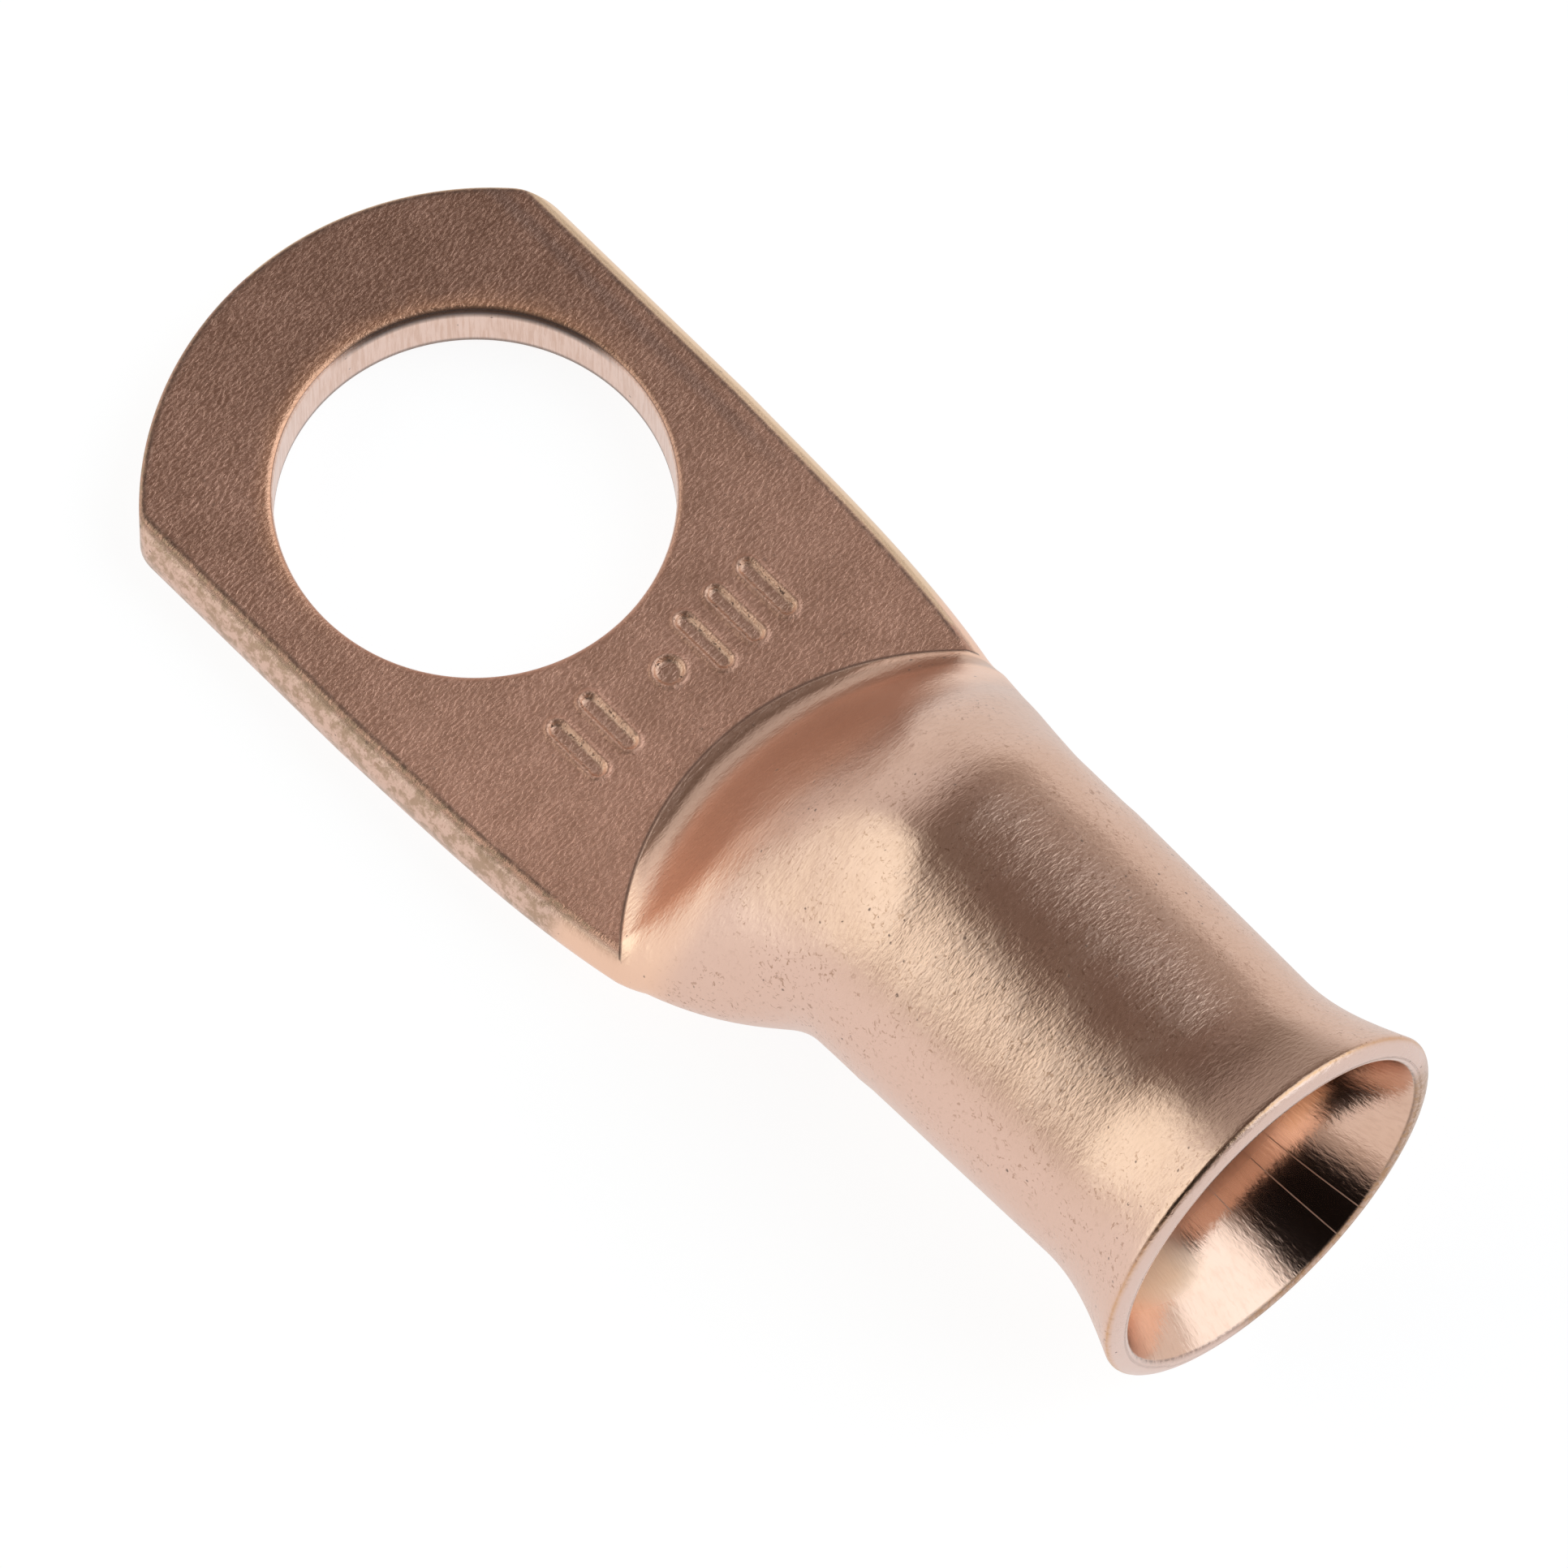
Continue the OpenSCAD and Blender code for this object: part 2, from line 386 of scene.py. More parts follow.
def clear_of(points, loop, gap):
    out = np.ones(len(points), bool)
    for k in range(0, len(points), 2000):
        part = points[k : k + 2000]
        out[k : k + 2000] = np.hypot(
            part[:, None, 0] - loop[None, :, 0], part[:, None, 1] - loop[None, :, 1]
        ).min(axis=1) > gap
    return out


def grid(x0, x1, y0, y1, step):
    xs, ys = np.meshgrid(np.arange(x0, x1, step), np.arange(y0, y1, step), indexing="ij")
    xs[:, 1::2] += step / 2
    return np.stack([xs.ravel(), ys.ravel()], axis=1)


def flat_face(outer, rim_r, rim_points, fine):
    """Points and triangles of a palm face between its outline and the hole. The outline's points come
    first, then the rim's."""
    angle = 2 * np.pi * np.arange(rim_points) / rim_points
    circle = np.stack([np.cos(angle), np.sin(angle)], axis=1)
    rim = rim_r * circle
    area = ((outer[:, 0] * np.roll(outer[:, 1], -1)) - (outer[:, 1] * np.roll(outer[:, 0], -1))).sum()
    sign = 1 if area > 0 else -1
    rows = [shrunk(outer, sign * d) for d in (0.05, 0.13)]
    rows += [(rim_r + d) * circle for d in (0.05, 0.13)]
    keep_off = np.vstack([rows[1], rows[3]])
    inner = grid(-7.2, 10.4, -6, 6, 0.3 if fine else 0.6)
    if fine:
        x0, x1, y0, y1 = MARK_ZONE
        gap = 0.1
        in_zone = (
            (inner[:, 0] > x0 - gap) & (inner[:, 0] < x1 + gap)
            & (inner[:, 1] > y0 - gap) & (inner[:, 1] < y1 + gap)
        )
        inner = np.vstack([inner[~in_zone], grid(*MARK_ZONE, 0.045)])
    ok = inside(inner, rows[1]) & (np.hypot(inner[:, 0], inner[:, 1]) > rim_r + 0.18)
    inner = inner[ok]
    inner = inner[clear_of(inner, keep_off, 0.08)]
    points = np.vstack([outer, rim, *rows, inner])
    n, m = len(outer), len(rim)
    edges = [(i, (i + 1) % n) for i in range(n)] + [(n + i, n + (i + 1) % m) for i in range(m)]
    verts, _, faces, *_ = delaunay_2d_cdt([Vector(p) for p in points], edges, [], 0, 1e-7)
    if len(verts) != len(points):
        raise SystemExit("a palm face gained or lost points")
    corners = points[np.array(faces)]
    centre = corners.mean(axis=1)
    good = inside(centre, outer) & ~inside(centre, rim)
    return points, np.array(faces)[good]


# ---------------------------------------------------------------- the whole mesh

def shaped(points):
    """The small faults of a real one: the palm a little off the hole, and the lip cut out of square"""
    x, y, z = points.T.copy()
    rim = np.clip((x - FLARE_START) / FLARE_LEN, 0, 1) ** 2
    on_palm = (1 - opening(x)) * (np.hypot(x, y) > HOLE_R + 0.3)
    y = y + np.interp(x, (-TIP_REACH, SHOULDER_X), PALM_SHIFT) * on_palm - MOUTH_SHIFT * rim
    x = x - MOUTH_TILT * (z - BARREL_R) * rim
    # the near side of the barrel's outside is a little flattened where the slope runs out into it
    up = z - BARREL_R
    r, phi = np.hypot(y, up), np.arctan2(up, y)
    reach = np.where(x < GABLE_X, *GABLE_REACH)
    outside = step(r, BORE_R + 0.1, BORE_R + 0.55)
    gable = np.exp(-((x - GABLE_X) / reach) ** 2) * (up > 0) * (y < 0) * outside
    gable = 1 - GABLE * gable * np.sin(2 * phi) ** 2 / np.maximum(r, 1)
    y, z = y * gable, BARREL_R + up * gable
    return np.stack([x, y, z], axis=1)


class Build:
    """Points of the mesh as they are made"""

    def __init__(self):
        self.points, self.count = [], 0

    def add(self, points):
        start = self.count
        self.points.append(np.asarray(points, float))
        self.count += len(points)
        return start


def lug_mesh():
    b = Build()
    quads, tris = [], []

    def strip(first, second, closed):
        """Quads between two rows of point numbers"""
        first, second = np.asarray(first), np.asarray(second)
        if closed:
            q = np.stack([first, np.roll(first, -1), np.roll(second, -1), second], axis=1)
        else:
            q = np.stack([first[:-1], first[1:], second[1:], second[:-1]], axis=1)
        quads.append(q)

    rings = tube_rings()
    numbers = [b.add(r) + np.arange(N) for r in rings]
    for first, second in zip(numbers, numbers[1:]):
        strip(first, second, True)
    last = numbers[-1]
    strip(last[1 : N // 2], last[:N // 2 : -1], False)
    tris.append(np.array([
        [last[0], last[1], last[-1]],
        [last[N // 2], last[N // 2 - 1], last[N // 2 + 1]],
    ]))

    # the palm's edge: far side, tip, near side
    far = side_columns()
    tip = tip_columns()
    first = numbers[0]
    columns = [np.concatenate([first[-EDGE:], first[: EDGE + 1]])]
    for c in far:
        columns.append(b.add(c) + np.arange(len(ROWS)))
    for c in tip:
        columns.append(b.add(c) + np.arange(len(ROWS)))
    for c in reversed(far):
        columns.append(b.add(c * np.array([1, -1, 1])) + np.arange(len(ROWS)))
    half = N // 2
    columns.append(first[half + EDGE : half - EDGE - 1 : -1])
    for one, two in zip(columns, columns[1:]):
        strip(one, two, False)

    # the hole's wall
    rim_points = 240
    angle = 2 * np.pi * np.arange(rim_points) / rim_points
    wall = []
    for r, z in hole_profile():
        row = np.stack([r * np.cos(angle), r * np.sin(angle), np.full(rim_points, z)], axis=1)
        wall.append(b.add(row) + np.arange(rim_points))
    for one, two in zip(wall, wall[1:]):
        strip(one, two, True)

    # the two flat faces
    everything = np.vstack(b.points)
    for is_top in (True, False):
        edge_row = -1 if is_top else 0
        across = first[half + EDGE + 1 : N - EDGE]
        if is_top:
            across = first[half - EDGE - 1 : EDGE : -1]
        outline = np.concatenate([[c[edge_row] for c in columns], across])
        rim = wall[-1] if is_top else wall[0]
        rim_r = float(np.hypot(*everything[rim[0], :2]))
        flat, faces = flat_face(everything[outline, :2], rim_r, rim_points, is_top)
        extra = flat[len(outline) + rim_points :]
        x, y = extra.T
        z = heights(x, y, half_width(x, 0), 0.0, False)
        if is_top:
            z = PALM_T + mark_height(x, y)
        start = b.add(np.column_stack([extra, z]))
        own = np.concatenate([outline, rim, start + np.arange(len(extra))])
        tris.append(own[faces])

    points = shaped(np.vstack(b.points))
    quads = np.vstack(quads)
    tris = np.vstack(tris)
    mesh = bpy.data.meshes.new("lug_body")
    mesh.from_pydata((points * MM).tolist(), [], quads.tolist() + tris.tolist())
    mesh.validate()
    return mesh


def closed(mesh):
    """Join the points that meet at seams, and turn all faces outwards"""
    bm = bmesh.new()
    bm.from_mesh(mesh)
    bmesh.ops.remove_doubles(bm, verts=bm.verts, dist=1e-7)
    bmesh.ops.recalc_face_normals(bm, faces=bm.faces)
    bm.to_mesh(mesh)
    bm.free()
    mesh.shade_smooth()


# ---------------------------------------------------------------- where each kind of surface is

LIP_FROM = 23.2     # the lip's surfaces lie past here,
WITHIN_FROM = 13    # those inside the barrel past here,
SIDE_TO = 9         # and the palm's sides before here


def add_masks(mesh):
    """Values at the mesh's points that tell the copper what kind of surface each one is on"""
    n = len(mesh.vertices)
    at, normal = np.empty(n * 3), np.empty(n * 3)
    mesh.vertices.foreach_get("co", at)
    mesh.vertices.foreach_get("normal", normal)
    x, y, z = at.reshape(-1, 3).T / MM
    nx, ny, nz = normal.reshape(-1, 3).T
    station = x - curve_share(SHOULDER_X) * set_back(np.clip(y, -6, 6))
    from_hole = np.hypot(x, y) - HOLE_R
    edge = edge_distance(x, y)
    mark = mark_distance(x, y - MARK_SHIFT)
    outward = ny * y + nz * (z - BARREL_R)
    phi = np.degrees(np.arctan2(z - BARREL_R, y))    # round the barrel, 0 on the far side and 90 on top
    raised = z > 1.3
    upper = raised * (nz > 0)
    at_lip = x > LIP_FROM

    before_shoulder = 1 - step(station, SHOULDER_X, SHOULDER_X + 0.06)
    top = step(z, 1.33, 1.46) * (1 - step(z, 1.52, 1.66)) * before_shoulder * (nz > 0)
    under = (1 - step(z, 0.03, 0.12)) * (nz < 0) * (1 - step(x, 11, 13.5))
    within = ((outward < 0) & (x > WITHIN_FROM)).astype(float)
    masks = {
        # the palm's two faces, the inside of the barrel and the wall of the stud hole
        "flat": top + under,
        "inside": within,
        "wall": (np.abs(from_hole) < 0.05) * (np.abs(nz) < 0.6),
        # the line of the shoulder, for painted shade, the rims of the die marks, for a painted highlight and
        # dark bits, and the line along the palm's edge
        "crease": np.exp(-((station - SHOULDER_X) / 0.035) ** 2) * upper,
        "struck": np.exp(-((mark + 0.01) / 0.05) ** 2) * (np.abs(z - PALM_T) < 0.2),
        "edge": np.exp(-(edge / 0.045) ** 2) * raised * (x < np.where(y > 0, 9.4, 8)),
        # the arc of the hole's rim farthest from the camera, for a painted shadow line, and its whole rolled
        # edge, for a painted orange glow
        "rim": (1 - step(from_hole, 0.05, 0.1)) * step(z, 1.3, 1.33) * step(-0.72 * x + 0.69 * y, 2.8, 3.7),
        "glow": (1 - step(from_hole, 0.12, 0.45)) * (z > 1.2),
        # the palm's far edge, for a painted highlight, and both of its sides
        "painted_edge_highlight": (y > 0) * (1 - step(edge, -0.1, 0)) * step(z, 0.4, 0.6) * (x < SIDE_TO),
        "side": (edge < -0.02) * (x < SIDE_TO) * (from_hole > 0.3),
        # the lip's outer edge, inner edge and face, and its arc from the bottom to the far side
        "gilt": np.exp(-((nx - 0.42) / 0.22) ** 2) * (outward > 0) * at_lip,
        "inner": np.exp(-((nx - 0.75) / 0.12) ** 2) * (outward < 0) * at_lip,
        "lip": step(nx, 0.6, 0.75) * at_lip,
        "far": at_lip * step(nx, 0.5, 0.7) * step(phi, -112, -95) * (1 - step(phi, 0, 15)),
        # low on the near side inside the barrel, for painted light, the top of the flare and the foot of the
        # slope, both for painted shade
        "near": within * (x > 15) * step(-phi, 98, 118) * (1 - step(x, 22.7, 23.3)),
        "flare": (
            step(x, 21.4, 22.6) * step(phi, 50, 66) * (1 - step(phi, 98, 112))
            * (outward > 0) * (nx < 0.2)
        ),
        "foot": step(station, 7.75, 7.9) * (1 - step(station, 8.25, 8.55)) * step(y, -3.8, -2) * upper,
    }
    for name, values in masks.items():
        layer = mesh.attributes.new(name, "FLOAT", "POINT")
        layer.data.foreach_set("value", values.astype(np.float32))


# ---------------------------------------------------------------- copper

class Nodes:
    """Short calls that add and link the nodes of one tree"""

    def __init__(self, tree):
        self.tree = tree

    def put(self, socket, value):
        if hasattr(value, "links") or isinstance(value, bpy.types.NodeSocket):
            self.tree.links.new(value, socket)
        elif value is not None:
            socket.default_value = value

    def add(self, kind, **inputs):
        node = self.tree.nodes.new(kind)
        for name, value in inputs.items():
            self.put(node.inputs[name.replace("_", " ")], value)
        return node.outputs[0]

    def math(self, what, a, b=0.0, clamp=False):
        node = self.tree.nodes.new("ShaderNodeMath")
        node.operation = what
        node.use_clamp = clamp
        self.put(node.inputs[0], a)
        self.put(node.inputs[1], b)
        return node.outputs[0]

    def times(self, first, *others):
        for other in others:
            first = self.math("MULTIPLY", first, other)
        return first

    def most(self, first, *others):
        for other in others:
            first = self.math("MAXIMUM", first, other)
        return first

    def ramp(self, value, low, high, to_low=0.0, to_high=1.0):
        node = self.tree.nodes.new("ShaderNodeMapRange")
        node.interpolation_type = "SMOOTHSTEP"
        self.put(node.inputs["Value"], value)
        self.put(node.inputs["From Min"], low)
        self.put(node.inputs["From Max"], high)
        self.put(node.inputs["To Min"], to_low)
        self.put(node.inputs["To Max"], to_high)
        return node.outputs["Result"]

    def mix(self, t, a, b):
        node = self.tree.nodes.new("ShaderNodeMix")
        self.put(node.inputs[0], t)
        self.put(node.inputs[2], a)
        self.put(node.inputs[3], b)
        return node.outputs[0]

    def colour(self, t, a, b, how="MIX"):
        node = self.tree.nodes.new("ShaderNodeMix")
        node.data_type = "RGBA"
        node.blend_type = how
        self.put(node.inputs[0], t)
        self.put(node.inputs[6], a if not isinstance(a, tuple) else (*a, 1))
        self.put(node.inputs[7], b if not isinstance(b, tuple) else (*b, 1))
        return node.outputs[2]

    def scaled(self, vector, scale):
        node = self.tree.nodes.new("ShaderNodeMapping")
        self.tree.links.new(vector, node.inputs["Vector"])
        node.inputs["Scale"].default_value = scale
        return node.outputs[0]

    def split(self, vector):
        node = self.tree.nodes.new("ShaderNodeSeparateXYZ")
        self.tree.links.new(vector, node.inputs[0])
        return node.outputs

    def measure(self, what, vector, other):
        """The distance or the dot product of a vector and a fixed one"""
        node = self.tree.nodes.new("ShaderNodeVectorMath")
        node.operation = what
        self.tree.links.new(vector, node.inputs[0])
        node.inputs[1].default_value = other
        return node.outputs["Value"]

    def grey(self, value):
        node = self.tree.nodes.new("ShaderNodeCombineColor")
        for socket in node.inputs:
            self.put(socket, value)
        return node.outputs[0]

    def noise(self, vector, scale, detail=2.0, rough=0.5, warp=0.0):
        return self.add(
            "ShaderNodeTexNoise", Vector=vector, Scale=scale, Detail=detail, Roughness=rough, Distortion=warp
        )

    def mask(self, name):
        node = self.tree.nodes.new("ShaderNodeAttribute")
        node.attribute_name = name
        return node.outputs["Fac"]


def surface(n):
    """What all parts of the copper read: the place in millimetres, the main masks and the noises"""
    where = n.tree.nodes.new("ShaderNodeTexCoord").outputs["Object"]
    at = n.scaled(where, (1000, 1000, 1000))
    x, y, z = n.split(at)
    flat, within, wall = n.mask("flat"), n.mask("inside"), n.mask("wall")

    # one grain: short dashes across the barrel, leathery on the palm and long lines inside
    across = n.mix(wall, n.mix(within, n.mix(flat, 5, 7), 9), 14)
    grain_at = n.add(
        "ShaderNodeCombineXYZ",
        X=n.times(x, n.mix(within, 14.5, 0.12)),
        Y=n.times(y, across),
        Z=n.times(z, n.mix(wall, n.mix(within, 5, 9), 1)),
    )
    return SimpleNamespace(
        at=at, x=x, y=y, z=z, flat=flat, within=within, wall=wall,
        round_part=n.math("SUBTRACT", n.math("SUBTRACT", 1, flat), within, clamp=True),
        grain=n.noise(grain_at, 1, 3, 0.6, n.mix(flat, 0.3, 0.9)),
        patches=n.noise(at, 0.9, 4, 0.6),
        ragged=n.noise(at, 7, 3, 0.7),
        specks=n.noise(at, 9, 3, 0.65, 0.8),
    )


def barrel_colour(n, s):
    """Pinkish copper with loose dark flecks, and a painted reflection that makes it paler low on the near
    flank
    """
    base = n.colour(n.ramp(s.patches, 0.3, 0.7), (0.73, 0.475, 0.355), (0.77, 0.51, 0.39))
    base = n.colour(n.ramp(s.grain, 0.45, 0.7, 0, 0.25), base, (0.55, 0.33, 0.235))
    # painted reflection: the round part is painted paler low on the near flank
    pale = n.times(s.round_part, n.ramp(s.y, -2.8, -3.7, 0, 0.7))
    base = n.colour(pale, base, (0.86, 0.59, 0.485))
    flecks = n.times(n.ramp(s.specks, 0.57, 0.66, 0, 0.7), n.ramp(s.patches, 0.38, 0.58, 0.2, 1))
    return n.colour(n.times(flecks, s.round_part), base, (0.4, 0.22, 0.14))


def palm_colour(n, s, base):
    """Darker and redder on the struck faces, with painted shade towards the tip and the far side, darkest by
    the far edge; a painted glow at the hole's far rim, and painted highlights on the marks' rims and the far
    edge
    """
    # painted shade: the struck faces darken towards the tip and the far side, with random patches, and take
    # a redder tint
    along = n.times(
        n.ramp(s.x, -7, 8, 0.6, 0.88), n.ramp(s.y, 2, -4, 1, 1.2), n.ramp(s.patches, 0.3, 0.7, 0.94, 1.06)
    )
    shaded_and_redder = n.colour(1.0, base, n.grey(along), "MULTIPLY")
    shaded_and_redder = n.colour(1.0, shaded_and_redder, (1.0, 0.85, 0.8), "MULTIPLY")
    base = n.colour(s.flat, base, shaded_and_redder)
    streak = n.times(n.ramp(s.y, 4.8, 5.02), n.ramp(s.y, 5.3, 5.1), s.flat, n.ramp(s.x, 5, 2, 0, 0.35))
    base = n.colour(streak, base, (0.3, 0.2, 0.17))
    # painted glow: the hole's rolled rim is painted orange on its far, tip side, a reflection painted in
    glow = n.times(n.mask("glow"), n.ramp(s.x, 1.5, -2.5), 0.5)
    base = n.colour(glow, base, (0.95, 0.5, 0.3))
    sheared = n.colour(n.ramp(s.grain, 0.4, 0.65, 0, 0.7), (0.88, 0.64, 0.54), (0.72, 0.47, 0.36))
    base = n.colour(s.wall, base, sheared)
    # painted highlight: the rims of the die marks are painted paler
    base = n.colour(n.times(n.mask("struck"), 0.6), base, (0.95, 0.66, 0.48))
    # painted highlight: a golden line along the palm's far edge
    base = n.colour(n.times(n.mask("painted_edge_highlight"), 0.8), base, (0.92, 0.66, 0.42))
    mottle = n.times(
        n.mask("side"), n.ramp(n.noise(s.at, 3.5, 4, 0.7), 0.42, 0.6, 0.1, 0.8), n.ramp(s.y, 0, -1)
    )
    return n.colour(mottle, base, (0.44, 0.29, 0.19))


def slope_and_mouth_colour(n, s, base):
    """Painted light on the slope and low inside the barrel's near side, painted shade at the slope's foot
    and on the flare's top, and golden round the lip's edges
    """
    # painted light: the slope is painted brighter, standing in for a brighter reflection
    slope = n.times(n.ramp(s.x, 7.9, 8.6), n.ramp(s.x, 11.5, 10.5), s.round_part)
    base = n.colour(slope, base, (0.95, 0.62, 0.455))
    # painted shade at the foot of the slope, on its near side
    base = n.colour(n.times(n.mask("foot"), 0.6), base, (0.5, 0.32, 0.23))
    # painted shade: the top of the flare is painted darker
    base = n.colour(n.mask("flare"), base, (0.46, 0.29, 0.21))
    # painted light: low on the near side inside the barrel is painted brighter
    base = n.colour(n.mask("near"), base, (1.0, 0.68, 0.47))
    base = n.colour(n.times(n.mask("lip"), 0.8), base, (0.8, 0.6, 0.53))
    far = n.times(n.mask("far"), n.ramp(s.ragged, 0.4, 0.6, 0.95, 0.5))
    base = n.colour(far, base, (0.46, 0.27, 0.15))
    gilt = n.times(n.mask("gilt"), n.ramp(s.ragged, 0.35, 0.6, 0.9, 0.5))
    return n.colour(gilt, base, (0.66, 0.36, 0.17))


def pits(n, s):
    """Pits in loose clusters, two of them where the photo has its densest"""
    cells = n.tree.nodes.new("ShaderNodeTexVoronoi")
    n.put(cells.inputs["Vector"], s.at)
    cells.inputs["Scale"].default_value = 4.2
    blur = n.times(n.math("SUBTRACT", s.specks, 0.5), 0.5)
    pit = n.ramp(n.math("ADD", cells.outputs["Distance"], blur), 0.17, 0.06)
    clustered = n.ramp(s.patches, 0.5, 0.66, 0.03, 0.5)
    for spot, reach in (((18.3, 3.3, 6.2), 1.6), ((14.6, -2.2, 7.2), 1.3)):
        distance = n.measure("DISTANCE", s.at, spot)
        clustered = n.most(clustered, n.ramp(distance, reach, reach * 0.4))
    chosen = n.math("LESS_THAN", n.split(cells.outputs["Color"])[0], clustered)
    return n.times(pit, chosen, n.mix(s.flat, 0.7, 0.35))


def dark_lines(n, s):
    """Painted shade along the shoulder's crease and a painted shadow along the hole's far rim; oxide along
    the palm's edges and in the marks, in pits and inside the lip
    """
    dark = n.most(
        # painted shade along the shoulder's crease
        n.times(n.mask("crease"), 0.8),
        n.times(n.mask("edge"), n.ramp(s.ragged, 0.35, 0.6, 0.3, 0.85)),
        # painted shadow along the hole's far rim
        n.mask("rim"),
        n.times(n.mask("struck"), n.ramp(s.ragged, 0.56, 0.64)),
        pits(n, s),
        n.times(s.wall, n.ramp(s.z, 0.22, 0.1, 0, 0.6)),
    )
    dark = n.times(dark, n.math("SUBTRACT", 1, s.within))
    return n.most(dark, n.times(n.mask("inner"), n.ramp(s.ragged, 0.4, 0.6, 0.25, 0.75)))


def roughness(n, s):
    """Duller on the palm and deep inside, smoothest in the mouth, with three scratches along it"""
    rough = n.math("ADD", n.ramp(s.x, 12.5, 15.5, 0.27, 0.24), n.times(s.patches, 0.06))
    rough = n.mix(s.flat, rough, n.ramp(s.x, -4, 6, 0.36, 0.44))
    rough = n.mix(s.within, rough, n.ramp(s.x, 21.2, 22.4, 0.5, 0.15))
    rough = n.mix(n.mask("near"), rough, 0.6)
    turn = n.math("ARCTAN2", n.math("SUBTRACT", s.z, BARREL_R), s.y)
    for degrees in (-64.5, -54, -83):
        off = n.math("ABSOLUTE", n.math("SUBTRACT", turn, math.radians(degrees)))
        rough = n.mix(n.times(s.within, n.ramp(off, 0.005, 0.002)), rough, 0.6)
    return rough


def relief(n, s):
    """Fine grain everywhere, and slow waves on the round part"""
    grain = n.times(s.grain, n.mix(s.within, n.mix(s.flat, 0.6, 1.2), 0.35))
    waves = n.times(s.patches, s.round_part, 1.5)
    return n.add("ShaderNodeBump", Height=n.math("ADD", grain, waves), Strength=1.0, Distance=0.00002)


def copper():
    m = bpy.data.materials.new("copper")
    m.use_nodes = True
    n = Nodes(m.node_tree)
    s = surface(n)
    base = slope_and_mouth_colour(n, s, palm_colour(n, s, barrel_colour(n, s)))
    dark = dark_lines(n, s)
    shader = m.node_tree.nodes["Principled BSDF"]
    n.put(shader.inputs["Base Color"], n.colour(dark, base, (0.11, 0.052, 0.032)))
    n.put(shader.inputs["Metallic"], n.math("SUBTRACT", 1, n.times(dark, 0.8)))
    n.put(shader.inputs["Roughness"], roughness(n, s))
    n.put(shader.inputs["Normal"], relief(n, s))
    return m


# ---------------------------------------------------------------- floor, light and camera

def floor():
    """A pale floor, tilted as the lug would rest on it, on the tip of its palm and on its lip"""
    size, gap = 3.0, 0.00002    # metres
    slope = -cad_lo.z / (cad_hi.x - cad_lo.x)
    corners = [(-size, -size), (size, -size), (size, size), (-size, size)]
    made = bpy.data.meshes.new("floor")
    made.from_pydata([(x, y, -slope * (x - cad_lo.x) - gap) for x, y in corners], [], [(0, 1, 2, 3)])
    o = bpy.data.objects.new("floor", made)
    bpy.context.scene.collection.objects.link(o)
    m = bpy.data.materials.new("floor")
    m.use_nodes = True
    tree = m.node_tree
    tree.nodes.clear()
    out = tree.nodes.new("ShaderNodeOutputMaterial")
    path = tree.nodes.new("ShaderNodeLightPath")
    diffuse = tree.nodes.new("ShaderNodeBsdfDiffuse")
    glow = tree.nodes.new("ShaderNodeEmission")
    both = tree.nodes.new("ShaderNodeAddShader")
    n = Nodes(tree)
    # seen by the camera or in the metal it is nearly white, and part of that is lit, so it takes the shadow
    by_camera = path.outputs["Is Camera Ray"]
    seen = n.most(by_camera, path.outputs["Is Glossy Ray"])
    n.put(diffuse.inputs["Color"], n.grey(n.mix(seen, 0.85, 0.2)))
    n.put(glow.inputs["Strength"], n.times(seen, n.mix(by_camera, 0.8, 0.9)))
    tree.links.new(diffuse.outputs[0], both.inputs[0])
    tree.links.new(glow.outputs[0], both.inputs[1])
    tree.links.new(both.outputs[0], out.inputs["Surface"])
    made.materials.append(m)


# The studio's walls by the height of the direction, from level or lower up to overhead, and the places
# that stand out from them: azimuth, elevation, full within and gone outside (degrees), and colour
WALLS = (
    (0.0, 0.80, 0.78, 0.76),
    (0.1, 0.54, 0.51, 0.49),
    (0.25, 0.44, 0.405, 0.385),
    (0.45, 0.335, 0.285, 0.268),
    (0.65, 0.225, 0.18, 0.165),
    (0.85, 0.18, 0.138, 0.118),
    (1.0, 0.18, 0.135, 0.115),
)
PALE_WALL = (175, -5, 30, 45, (0.80, 0.81, 0.84))
NEAR_BOX = (-138, 24, 20, 41, (1.36, 1.50, 1.46))
FAR_BOX = (50, 35, 26, 46, (1.45, 1.66, 1.80))
DARK_CAMERA = (-45, 44, 26, 40, (0.006, 0.005, 0.005))


def towards(azimuth, elevation):
    a, e = math.radians(azimuth), math.radians(elevation)
    return (math.cos(e) * math.cos(a), math.cos(e) * math.sin(a), math.sin(e))


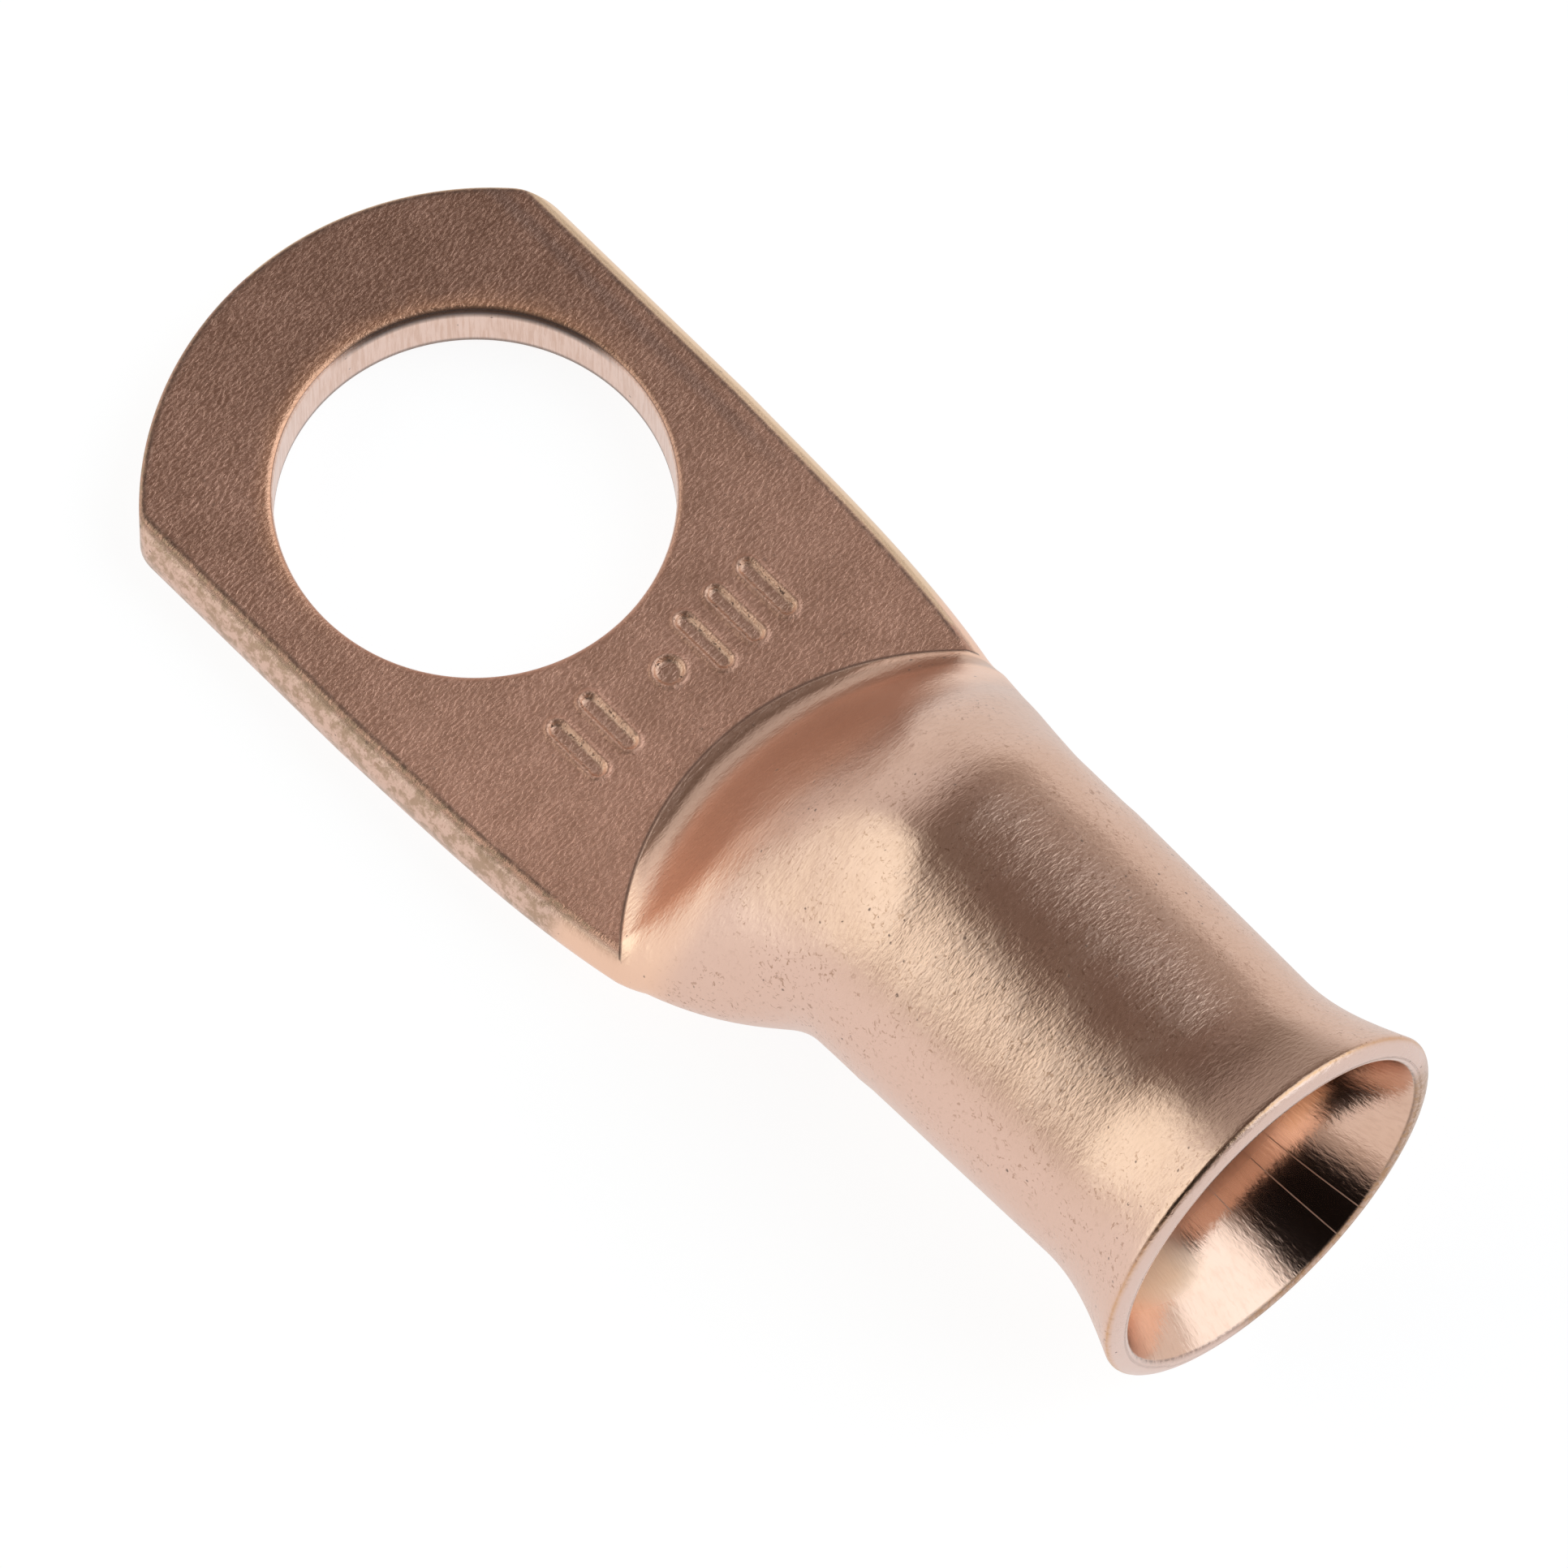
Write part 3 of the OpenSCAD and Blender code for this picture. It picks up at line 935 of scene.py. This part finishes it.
def world():
    """A studio with a pale wall, two wide soft boxes and the dark place of the camera"""
    w = bpy.data.worlds.new("studio")
    bpy.context.scene.world = w
    w.use_nodes = True
    n = Nodes(w.node_tree)
    sight = w.node_tree.nodes.new("ShaderNodeTexCoord").outputs["Generated"]
    walls = w.node_tree.nodes.new("ShaderNodeValToRGB")
    while len(walls.color_ramp.elements) < len(WALLS):
        walls.color_ramp.elements.new(0.5)
    for element, (at, *rgb) in zip(walls.color_ramp.elements, WALLS):
        element.position = at
        element.color = (*rgb, 1)
    w.node_tree.links.new(n.split(sight)[2], walls.inputs[0])
    colour = walls.outputs[0]
    for azimuth, elevation, full, gone, tint in (PALE_WALL, NEAR_BOX, FAR_BOX, DARK_CAMERA):
        nearness = n.measure("DOT_PRODUCT", sight, towards(azimuth, elevation))
        there = n.ramp(nearness, math.cos(math.radians(gone)), math.cos(math.radians(full)))
        colour = n.colour(there, colour, tint)
    background = w.node_tree.nodes["Background"]
    n.put(background.inputs["Color"], colour)
    background.inputs["Strength"].default_value = 1


# The camera's place in metres, the directions of its picture, and its lens, fitted to the photo
CAMERA_AT = Vector((0.318021, -0.286816, 0.903698))
CAMERA_RIGHT = Vector((0.68541, 0.72815, -0.00300))
CAMERA_DOWN = Vector((0.65885, -0.62192, -0.42324))
CAMERA_AHEAD = Vector((-0.31005, 0.28811, -0.90601))
CAMERA_LENS, CAMERA_SENSOR = 1104.3, 36


def camera():
    data = bpy.data.cameras.new("camera")
    data.sensor_width = CAMERA_SENSOR
    data.lens = CAMERA_LENS
    data.clip_start, data.clip_end = 0.05, 20
    cam = bpy.data.objects.new("camera", data)
    bpy.context.scene.collection.objects.link(cam)
    turn = Matrix((CAMERA_RIGHT, -CAMERA_DOWN, -CAMERA_AHEAD)).transposed().to_4x4()
    cam.matrix_world = Matrix.Translation(CAMERA_AT) @ turn
    bpy.context.scene.camera = cam


# ---------------------------------------------------------------- the scene

mesh = lug_mesh()
lug = bpy.data.objects.new("lug_body", mesh)
bpy.context.scene.collection.objects.link(lug)
closed(mesh)
add_masks(mesh)

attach(lug, "root")
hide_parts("lug")
mesh.materials.append(copper())

floor()
world()
camera()
bpy.context.scene.view_settings.view_transform = "Standard"
